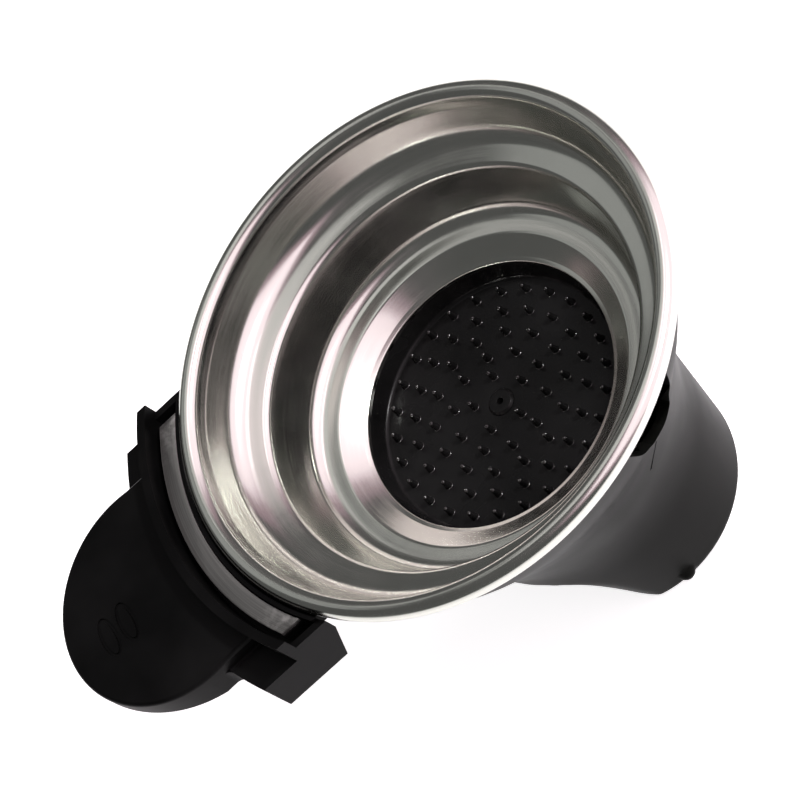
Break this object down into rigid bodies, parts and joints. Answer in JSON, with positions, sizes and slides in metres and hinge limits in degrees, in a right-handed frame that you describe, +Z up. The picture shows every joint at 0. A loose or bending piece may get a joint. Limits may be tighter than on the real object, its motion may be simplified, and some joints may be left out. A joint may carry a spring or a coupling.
{
  "type": "pod holder portafilter",
  "caption": "Stepped steel pod cup with a pin plate, seated in a flared funnel with an arc bracket and a round thumb tab; the cup lifts out for cleaning.",
  "frame": {"origin": "centre of the outlet at the funnel's lower face, on the cup's axis", "axes": "+Z up along the cup's axis, +X from the axis towards the thumb tab"},
  "size_m": [0.1245, 0.092, 0.0737],
  "materials": {
    "cup_steel": "fine turned satin with polished highlights",
    "ring_steel": "plain stamped",
    "screw_steel": "plain",
    "plate_black": "deep gloss moulded",
    "inner_plastic": "moulded satin",
    "funnel_black": "moulded satin gloss",
    "handle_black": "fine moulded satin",
    "strip_grey": "brushed satin",
    "seal_rubber": "plain"
  },
  "bodies": {
    "holder": {"funnel": "funnel_black", "handle": "handle_black", "channel_strip": "strip_grey", "handle_screws": "screw_steel", "cup_seal": "seal_rubber", "outlet_bush": "seal_rubber", "splash_baffle": "inner_plastic"},
    "cup": {"steel_cup": "cup_steel", "pin_plate": "plate_black", "nozzle": "plate_black", "nozzle_seal": "seal_rubber", "froth_chamber": "inner_plastic", "plate_seal": "seal_rubber", "retaining_ring": "ring_steel"}
  },
  "joints": [
    {"name": "cup_lift", "type": "slide", "parent": "holder", "child": "cup", "axis": [0, 0, 1], "range_m": [0, 0.05]}
  ]
}
